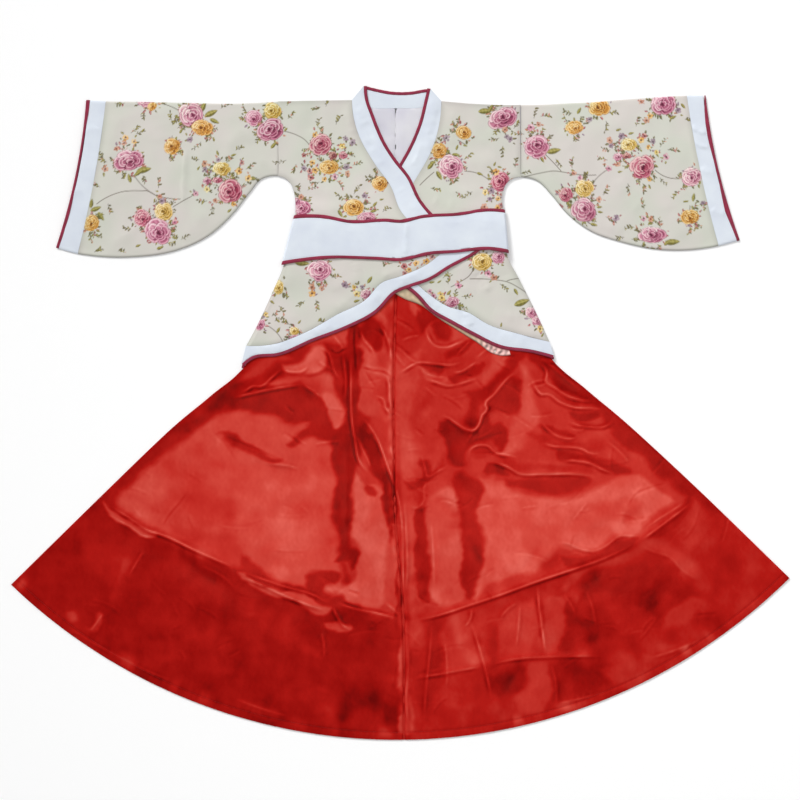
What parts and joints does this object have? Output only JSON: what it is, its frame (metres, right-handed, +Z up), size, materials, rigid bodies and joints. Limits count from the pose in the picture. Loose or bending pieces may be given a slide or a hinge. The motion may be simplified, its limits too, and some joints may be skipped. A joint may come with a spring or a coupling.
{
  "type": "hanfu costume",
  "caption": "Hanfu costume laid flat: wide-sleeved crossover top in a rose print, white bands piped in crimson, sash and long red satin skirt.",
  "frame": {"origin": "centre of the garment's outline, on the surface it lies on", "axes": "+X across the garment to the viewer's right, +Y from the skirt's hem to the neck, +Z up from the surface"},
  "size_m": [1.52, 1.2763, 0.0131],
  "materials": {
    "flowered_cotton": "cream polycotton with an ordinary rose print, matte",
    "cloth_wrong_side": "the print cloth's pale wrong side, matte",
    "white_trim": "bluish white crepe-back satin, low sheen",
    "crimson_piping": "crimson woven piping, matte",
    "red_satin": "bright red polyester satin, glossy"
  },
  "bodies": {
    "root": {"front_left": "flowered_cotton", "front_right": "flowered_cotton", "sleeve_left": "flowered_cotton", "sleeve_right": "flowered_cotton", "hem_facing_right": "flowered_cotton", "back_left": "cloth_wrong_side", "back_right": "cloth_wrong_side", "collar_left": "white_trim", "collar_right": "white_trim", "collar_back": "white_trim", "cuff_left": "white_trim", "cuff_right": "white_trim", "hem_band_left": "white_trim", "hem_band_right": "white_trim", "hem_band_back": "white_trim", "sash": "white_trim", "collar_piping_left": "crimson_piping", "collar_piping_right": "crimson_piping", "collar_piping_back": "crimson_piping", "hem_piping_left": "crimson_piping", "hem_piping_right": "crimson_piping", "hem_piping_back": "crimson_piping", "cuff_piping_left": "crimson_piping", "cuff_piping_right": "crimson_piping", "sash_piping_top": "crimson_piping", "sash_piping_bottom": "crimson_piping", "skirt_front_left": "red_satin", "skirt_front_right": "red_satin", "skirt_back": "red_satin"}
  },
  "joints": []
}
